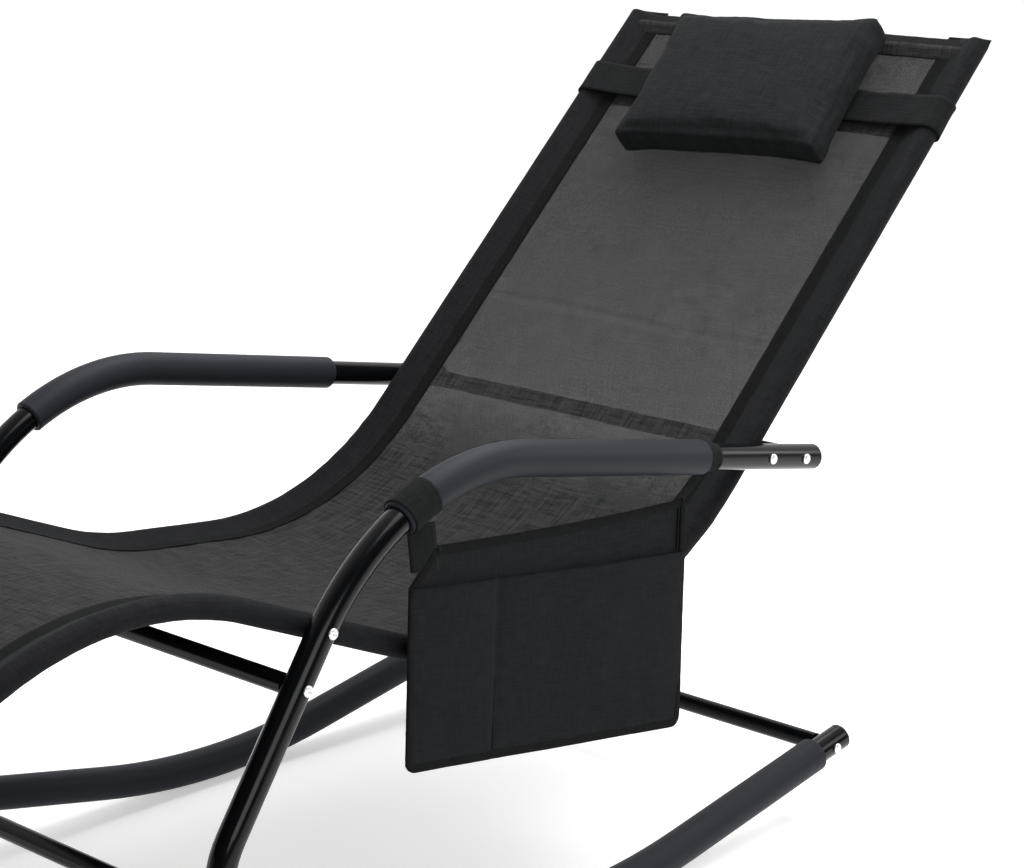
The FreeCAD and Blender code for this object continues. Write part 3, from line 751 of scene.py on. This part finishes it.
def pocketSpot(forward, down):
    bolt = np.array(sideTube["bolt"]) + [frameShift, 0]
    corner = bolt + toward(180 - sideTube["armAngle"]) * -pocket["rear"][0] + [0, pocket["rear"][1]]
    along, below = toward(180 - pocket["tilt"]), toward(-90 - pocket["slant"])
    forward, down = np.broadcast_arrays(forward, down)
    return corner + forward[..., None] * along + down[..., None] * below


# Upper and lower edge of the back panel at a distance from its rear side
def pocketEdges(forward):
    length, dip, corner, bend = pocket["length"], pocket["dip"], pocket["corner"], pocket["round"]
    top = np.interp(forward, [0, length - corner, length], [0, dip, dip + corner])
    top = top + 3.0 * np.sin(np.clip(forward / (length - corner), 0, 1) * math.pi)
    near = np.minimum(forward, length - forward)
    low = pocket["height"] + pocket["slack"] * (1 - forward / length)
    low = low - np.where(near < bend, bend - np.sqrt(np.maximum(bend ** 2 - (bend - near) ** 2, 0)), 0)
    return top, low


def pocketSag(forward, down):
    wave = 1.3 * ripple(forward / 75, down / 110, 12.0) + 0.5 * ripple(forward / 28, down / 60, 13.0)
    hang = np.clip(down / pocket["height"], 0, 1)
    return wave * (0.4 + 0.6 * hang)


def pocketPanel(name, material, front):
    rows, columns = 56, 110
    forward = np.linspace(1.0, pocket["length"] - 1.0, columns)
    top, low = pocketEdges(forward)
    if front:
        top = np.full_like(forward, pocket["lip"]) + 1.2 * np.sin(forward / 130)
        top = np.maximum(top, pocketEdges(forward)[0] + 1.0)
    t = np.linspace(0, 1, rows)
    down = top[None, :] + (low - top)[None, :] * t[:, None]
    grid = np.broadcast_to(forward, down.shape)
    out = pocketSag(grid, down)
    if front:
        split = pocket["length"] * pocket["divider"]
        rooms = np.where(grid < split, grid / split, (pocket["length"] - grid) / (pocket["length"] - split))
        rooms = np.clip(rooms, 0, 1)
        belly = np.clip(4 * rooms * (1 - rooms), 0, 1) ** 0.5
        depth = np.clip((low[None, :] - down) / 70, 0, 1)
        out = out + 1.6 + pocket["bulge"] * belly * depth * (0.75 + 0.25 * ripple(grid / 60, down / 70, 3.0))
        out = out - 1.1 * np.exp(-((grid - split - 1.0) / 2.2) ** 2)
        fold = down - top[None, :]
        out = out + 0.9 * np.exp(-((fold - 4) / 4.5) ** 2) - 0.45 * np.exp(-((fold - 11.0) / 1.4) ** 2)
    thickness = 1.0
    spots = pocketSpot(grid, down)
    layers = []
    for offset in (thickness / 2, -thickness / 2):
        y = np.clip(pocket["y"] - out - offset, pocket["y"] - 11.5, pocket["y"] + 1.5)
        layers.append(np.stack([spots[..., 0], y, spots[..., 1]], axis=-1))
    ringed = np.concatenate([layers[0], layers[1][:, ::-1]], axis=1) * mm
    around = np.concatenate([forward, forward[::-1], forward[:1]])
    return gridMesh(name, ringed, t * pocket["height"], around, material, closeB=True, caps=True)


# Binding tape folded over an edge that runs through points (forward, down) of the pocket
def binding(name, path, material, lift=0.0, width=None):
    path = np.array(path, dtype=float)
    width = width or pocket["binding"]
    fine = np.linspace(0, cumulative(path)[-1], max(12, int(cumulative(path)[-1] / 5)))
    forward = np.interp(fine, cumulative(path), path[:, 0])
    down = np.interp(fine, cumulative(path), path[:, 1])
    spots = pocketSpot(forward, down)
    out = pocketSag(forward, down) + lift + 0.35 * ripple(fine / 9, fine * 0, 4.4)
    route = np.stack([spots[:, 0], pocket["y"] - out, spots[:, 1]], axis=1)
    normal = np.tile([0.0, -1.0, 0.0], (len(route), 1))
    across = np.cross(tangents(route), normal)
    shape = []
    squareness = 0.45     # 1 is round, less is nearer to a flat tape
    for t in np.linspace(0, 2 * math.pi, 18, endpoint=False):
        c, d = math.cos(t), math.sin(t)
        c = math.copysign(abs(c) ** squareness, c)
        d = math.copysign(abs(d) ** squareness, d)
        shape.append((c * width / 2, d * 1.5))
    return sweptMesh(name, route, across, normal, np.array(shape), fine, material)


def sidePocket(cloth, edge):
    length, height, inset = pocket["length"], pocket["height"], pocket["binding"] / 2
    back = pocketPanel("pocketBack", cloth, False)
    front = pocketPanel("pocketFront", cloth, True)
    bend = pocket["round"]
    top, dip, corner = pocket["lip"], pocket["dip"], pocket["corner"]
    topEdge = [(inset, inset)]
    topEdge += [(f, pocketEdges(np.array([f]))[0][0] + inset) for f in np.linspace(40, length - corner, 9)]
    cut = [(length - corner, dip + inset), (length - inset, dip + corner + inset * 0.6)]
    tall = height + pocket["slack"]
    front1 = [(length - inset, dip + corner), (length - inset, height - bend)]
    roundA = [(length - bend + (bend - inset) * math.cos(t), height - bend + (bend - inset) * math.sin(t))
              for t in np.linspace(0, math.pi / 2, 6)]
    roundB = [(bend - (bend - inset) * math.sin(t), tall - bend + (bend - inset) * math.cos(t))
              for t in np.linspace(0, math.pi / 2, 6)]
    rear = [(inset, tall - bend), (inset, inset)]
    pieces = [back, front]
    pieces.append(binding("bindTop", topEdge, edge, 0.2))
    pieces.append(binding("bindCorner", cut, edge, 0.4))
    pieces.append(binding("bindSides", front1 + roundA + roundB + rear, edge, 1.2))
    split = length * pocket["divider"]
    turned = [(inset + 7.5, inset + 5), (inset + 8.5, top - 2)]
    pieces.append(binding("seamReturn", turned, edge, 0.9, 2.2))
    seam = [(split, top + 6), (split + 1.5, height + 2 - inset)]
    pieces.append(binding("seamSplit", seam, edge, 0.7, 1.3))
    piece = joined(pieces, "sidePocket")
    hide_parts("side_pocket")
    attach(piece, "chair")
    return piece


# Side tube near the armrest, which the bands and the pocket hang from
sideTube = {
    "armHeight": 468.0, "armAngle": 9.5, "legAngle": 56.0, "corner": -275.0, "bend": 280.0,
    "grip": 193.0, "gripLength": 450.0, "tubeRadius": 13.5, "foamRadius": 18.0,
    "bolt": (275.92, 421.83),    # first arm bolt
    "boltToEnd": 86.0,           # from it to the end of the tube
    "leg": 500.0,                # as much of the leg as the bands need
}
bands = {
    "rear": 18.0,                # width
    "front": 38.0,
    "rearIn": 11.0,              # middle of a band from the end of the grip
    "frontIn": 21.0,
    "clear": 0.3,
    "wall": 0.9,
    "tail": 1.4,
    "lean": 8.0,                 # of the tails, degrees
}


def armPath():
    rise = -sideTube["corner"] * math.tan(math.radians(sideTube["armAngle"]))
    corner = np.array([sideTube["corner"], sideTube["armHeight"] + rise])
    end = np.array(sideTube["bolt"]) + toward(-sideTube["armAngle"]) * sideTube["boltToEnd"]
    foot = corner + toward(180 + sideTube["legAngle"]) * sideTube["leg"]
    line = bentLine([end, corner, foot], (sideTube["bend"],), 2.0)
    line["x"] = line["x"] + frameShift
    return line


# Webbing band round the side tube with a hem at each edge and a tail sewn to the pocket
def hangingBand(name, middle, width, radius, tail, cloth):
    line = armPath()
    s = np.linspace(middle - width / 2, middle + width / 2, 15)
    turn = np.linspace(0, 2 * math.pi, 49)[:-1]
    grid, t = np.meshgrid(s, turn, indexing="ij")
    hemmed = 0.35 * np.exp(-((np.abs(grid - middle) - width / 2 + 2.5) / 1.6) ** 2)
    r = radius + bands["wall"] + hemmed + 0.25 * ripple(grid / 9, t * 1.5, 2.0)
    outer = onLine(line, grid, pocket["y"] - np.cos(t) * r, np.sin(t) * r)
    inner = onLine(line, grid, pocket["y"] - np.cos(t) * (radius + 0.05), np.sin(t) * (radius + 0.05))
    shell = np.concatenate([outer, inner[::-1]], axis=0)
    uvA = np.concatenate([s, s[::-1], s[:1]])
    ring = gridMesh(name, shell, uvA, np.append(turn, 2 * math.pi) * radius, cloth, closeA=True, closeB=True)
    route = np.array(tail)
    fine = np.linspace(0, cumulative(route)[-1], 24)
    route = np.stack([np.interp(fine, cumulative(route), route[:, k]) for k in range(3)], axis=1)
    across = np.tile([*toward(180 - bands["lean"]), 0.0], (len(route), 1))[:, [0, 2, 1]]
    normal = np.cross(across, tangents(route))
    section = flatSection(width, bands["tail"], 9)
    strip = sweptMesh(name + "Tail", route, across, normal, section, cumulative(route), cloth)
    return joined([ring, strip], name)


def pocketBands(cloth):
    line = armPath()
    rearS = sideTube["grip"] - bands["rearIn"]
    frontS = sideTube["grip"] + sideTube["gripLength"] - bands["frontIn"]

    def under(s, drop, y):
        spot = onLine(line, np.array([s]), np.array([0.0]), np.array([drop]))[0] / mm
        return [spot[0], pocket["y"] + y, spot[2]]

    def onPocket(forward, down, y):
        spot = pocketSpot(forward, down)
        return [spot[0], pocket["y"] + y, spot[1]]

    rearTail = [under(rearS, 12.9, 3.0), under(rearS + 6, 20.0, 4.0), onPocket(11.0, 3.0, 0.6)]
    frontTail = [under(frontS, 18.5, -2.0), under(frontS, 24.0, -1.0)]
    frontTail.append(onPocket(pocket["length"] - 22.0, pocket["dip"] + 24.0, -0.4))
    rearRadius = sideTube["tubeRadius"] + bands["clear"]
    frontRadius = sideTube["foamRadius"] + bands["clear"]
    rear = hangingBand("rearBand", rearS, bands["rear"], rearRadius, rearTail, cloth)
    front = hangingBand("frontBand", frontS, bands["front"], frontRadius, frontTail, cloth)
    piece = joined([rear, front], "pocketBands")
    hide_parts("pocket_bands")
    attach(piece, "chair")
    return piece


# Button-head bolts with a hex socket and a rolled washer under the head
boltSize = {
    "head": 5.5,
    "rise": 2.7,
    "socket": 2.4,
    "socketDepth": 2.0,
    "shank": 3.0,
    "seat": 0.3,             # head over the tube's side
    "washer": 0.9,
    "crown": 3.2,            # radius of the flat top
    "tubeSide": 282.5,       # outer side of the side tubes
    "headsPast": 284.8,      # CAD points further out belong to heads
    "apart": 14.0,           # less than this is the same bolt
    "reach": 30.0,           # length drawn inside the tube
}


def boltHead(spot, side, material):
    seat, head, washer = boltSize["seat"], boltSize["head"], boltSize["washer"]
    shank = boltSize["shank"]
    outline = [(shank, -boltSize["reach"]), (shank, seat - 0.2), (head - 0.4, seat - 0.2),
               (head, seat + 0.3), (head, seat + washer)]
    for t in np.linspace(0.15, 1.0, 7):
        high = seat + washer + (boltSize["rise"] - washer) * math.sin(t * 1.4)
        outline.append((head - (head - boltSize["crown"]) * t ** 1.4, high))
    outline.append((boltSize["socket"] + 0.45, outline[-1][1]))
    outline.append((boltSize["socket"] + 0.1, outline[-1][1] - 0.3))
    floor = outline[-1][1] - boltSize["socketDepth"]
    outline.append((boltSize["socket"], floor))
    outline.append((0.05, floor - 0.5))
    outline = np.array(outline)
    around = np.linspace(0, 2 * math.pi, 37)[:-1]
    k, t = np.meshgrid(np.arange(len(outline)), around, indexing="ij")
    radius = outline[k, 0]
    hexed = (k >= len(outline) - 3) & (k < len(outline) - 1)
    flat = np.cos(math.pi / 6) / np.cos((t + math.pi / 6) % (math.pi / 3) - math.pi / 6)
    radius = np.where(hexed, radius * flat * 1.06, radius)
    x = spot[0] + radius * np.cos(t)
    z = spot[1] + radius * np.sin(t)
    y = spot[2] + side * outline[k, 1]
    points = np.stack([x, y, z], axis=-1) * mm
    if side > 0:
        points = points[:, ::-1]
    uvB = np.append(around, 2 * math.pi) * 5
    return gridMesh("bolt", points, cumulative(outline), uvB, material, closeB=True)


# Puts a bolt where each head of the CAD node is
def boltSet(node, name, material):
    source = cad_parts[node]
    points = np.array([source.matrix_world @ v.co for v in source.data.vertices]) / mm
    tips = points[np.abs(points[:, 1]) > boltSize["headsPast"]]
    spots = []
    for tip in tips:
        if not any(np.linalg.norm(tip - other) < boltSize["apart"] for other in spots):
            group = tips[np.linalg.norm(tips - tip, axis=1) < boltSize["apart"]]
            spots.append(group.mean(axis=0))
    pieces = []
    for spot in spots:
        side = 1 if spot[1] > 0 else -1
        pieces.append(boltHead((spot[0], spot[2], side * boltSize["tubeSide"]), side, material))
    piece = joined(pieces, name)
    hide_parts(node)
    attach(piece, "chair")
    return piece


def dressNode(node, material):
    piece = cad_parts[node]
    for entry in piece.material_slots:
        entry.material = material


# Floor, light and camera
studio = {
    "floor": "#ffffff",
    "bounce": "#9a9a9a",     # the floor as the chair's undersides are lit by it
    "glow": 0.36,            # what the paper floor adds for the camera
    "ambient": 0.7,          # soft light from all round
    "front": 0.05,           # the dark side of the room, as shiny pieces reflect it
    "top": 78.0,
    "fill": 30.0,
    "side": 16.0,
}
camera = {
    "place": (-2076.9, -1989.4, 1146.4),      # from the floor contact, millimetres
    "forward": (0.67212, 0.73011, -0.12326),
    "down": (-0.08382, -0.09038, -0.99237),
    "focal": 2807.97,                          # pixels at the photograph's width
    "centre": (219.18, 105.10),                # principal point, pixels
    "image": (1024, 868),
}


def areaLight(name, place, aim, size, power):
    data = bpy.data.lights.new(name, "AREA")
    data.shape = "RECTANGLE"
    data.size, data.size_y = size
    data.energy = power
    lamp = placed(name, data)
    lamp.location = place
    lamp.rotation_euler = (Vector(aim) - Vector(place)).to_track_quat("-Z", "Y").to_euler()


def buildStage():
    scene = bpy.context.scene
    scene.view_settings.view_transform = "Standard"
    world = bpy.data.worlds.new("studio")
    scene.world = world
    world.use_nodes = True
    tree = world.node_tree
    # white for the camera, white behind the chair and dark in front of it for reflections
    path = addNode(tree, "ShaderNodeLightPath").outputs
    heading = addNode(tree, "ShaderNodeTexCoord").outputs["Generated"]
    away = (0.55, 0.78, 0.3)
    behind = addNode(tree, "ShaderNodeVectorMath", {0: heading, 1: away}, operation="DOT_PRODUCT")
    room = addNode(tree, "ShaderNodeMapRange", {
        "Value": behind.outputs["Value"], "From Min": -0.25, "From Max": 0.55,
        "To Min": studio["front"], "To Max": 1.0})
    shiny = math1(tree, "MAXIMUM", path["Is Glossy Ray"], path["Is Transmission Ray"])
    level = addNode(tree, "ShaderNodeMix", {0: shiny, 2: studio["ambient"], 3: room.outputs[0]}).outputs[0]
    level = addNode(tree, "ShaderNodeMix", {0: path["Is Camera Ray"], 2: level, 3: 1.0}).outputs[0]
    tree.links.new(level, tree.nodes["Background"].inputs["Strength"])
    tree.nodes["Background"].inputs["Color"].default_value = (1, 1, 1, 1)
    made, tree, shader = newMaterial("pale studio floor", {"Roughness": 0.9, "Specular IOR Level": 0.0})
    coords = addNode(tree, "ShaderNodeTexCoord").outputs["Object"]
    tint = mixColour(tree, noiseAt(tree, coords, 3.0), colour(studio["floor"]), colour("#fafafa"))
    path = addNode(tree, "ShaderNodeLightPath").outputs
    shiny = math1(tree, "MAXIMUM", path["Is Glossy Ray"], path["Is Transmission Ray"])
    seen = math1(tree, "MAXIMUM", path["Is Camera Ray"], shiny)
    tree.links.new(mixColour(tree, seen, colour(studio["bounce"]), tint), shader.inputs["Base Color"])
    shader.inputs["Emission Color"].default_value = (1, 1, 1, 1)
    tree.links.new(math1(tree, "MULTIPLY", seen, studio["glow"]), shader.inputs["Emission Strength"])
    data = bpy.data.meshes.new("floor")
    data.from_pydata([(-40, -40, 0), (40, -40, 0), (40, 40, 0), (-40, 40, 0)], [], [(0, 1, 2, 3)])
    data.materials.append(made)
    floor = placed("floor", data)
    floor.location.z = -0.0005
    areaLight("topSoftbox", (0.9, -0.4, 2.6), (0.2, 0, 0.4), (3.6, 1.4), studio["top"])
    areaLight("sideStrip", (2.7, -1.9, 1.5), (0.1, -0.2, 0.4), (1.6, 0.9), studio["side"])
    areaLight("frontFill", (-1.6, -3.0, 1.6), (0.1, 0, 0.3), (1.8, 1.2), studio["fill"])


def buildCamera():
    data = bpy.data.cameras.new("camera")
    data.sensor_width = 36.0
    data.sensor_fit = "HORIZONTAL"
    width, height = camera["image"]
    data.lens = camera["focal"] * data.sensor_width / width
    data.shift_x = (width / 2 - camera["centre"][0]) / width
    data.shift_y = (camera["centre"][1] - height / 2) / width
    data.clip_end = 200
    piece = placed("camera", data)
    back = -Vector(camera["forward"])
    up = -Vector(camera["down"])
    right = up.cross(back)
    turn = Matrix((right, up, back)).transposed()
    place = (Vector(camera["place"]) + Vector((frameShift, 0, 0))) * mm
    piece.matrix_world = Matrix.Translation(place) @ turn.to_4x4()
    bpy.context.scene.camera = piece


def buildAll():
    steelCoat = powderCoat()
    foam = gripFoam()
    plastic = mouldedPlastic()
    bright = zinc()
    meshCloth = wovenCloth("woven sling mesh", clothLooks["mesh"], 0.8, 0.03)
    hemCloth = wovenCloth("folded sling mesh", clothLooks["hem"], 0.8, 0.03)
    tunnelCloth = wovenCloth("double sling cloth", clothLooks["tunnel"], 0.75, 0.04)
    # binds the hems and the pocket, and paints shade on the tunnels' flat seams
    tapeAndPaintedShadeCloth = wovenCloth("black binding tape and painted seam shade", clothLooks["tapeAndPaintedShade"], 0.85, 0.03)
    pillowCloth = wovenCloth("pillow polyester", clothLooks["pillow"], 0.9, 0.06, True)
    webbing = wovenCloth("elastic webbing", clothLooks["webbing"], 0.9, 0.05)
    pocketCloth = wovenCloth("pocket polyester", clothLooks["pocket"], 0.9, 0.05)
    tubes = ("side_loop", "sling_rail", "head_spreader", "foot_spreader")
    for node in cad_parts:
        if node.startswith(tubes) or "crossbar" in node:
            dressNode(node, steelCoat)
        elif "foam" in node:
            dressNode(node, foam)
        elif "plugs" in node:
            dressNode(node, plastic)
    print("stage: frame dressed")
    cloth = slingCloth(meshCloth)
    tunnels = [slingTunnel(side, tunnelCloth, tapeAndPaintedShadeCloth) for side in (-1, 1)]
    hems = [hemRoll(atHead, hemCloth, tapeAndPaintedShadeCloth) for atHead in (True, False)]
    print("stage: sling made")
    headPillow(pillowCloth)
    band = pillowStrap(webbing)
    print("stage: pillow made")
    bag = sidePocket(pocketCloth, tapeAndPaintedShadeCloth)
    loops = pocketBands(webbing)
    print("stage: pocket made")
    boltSet("crossbar_bolts", "crossbarBolts", bright)
    boltSet("rail_bolts", "railBolts", bright)
    print("stage: bolts made")
    buildStage()
    buildCamera()


buildAll()
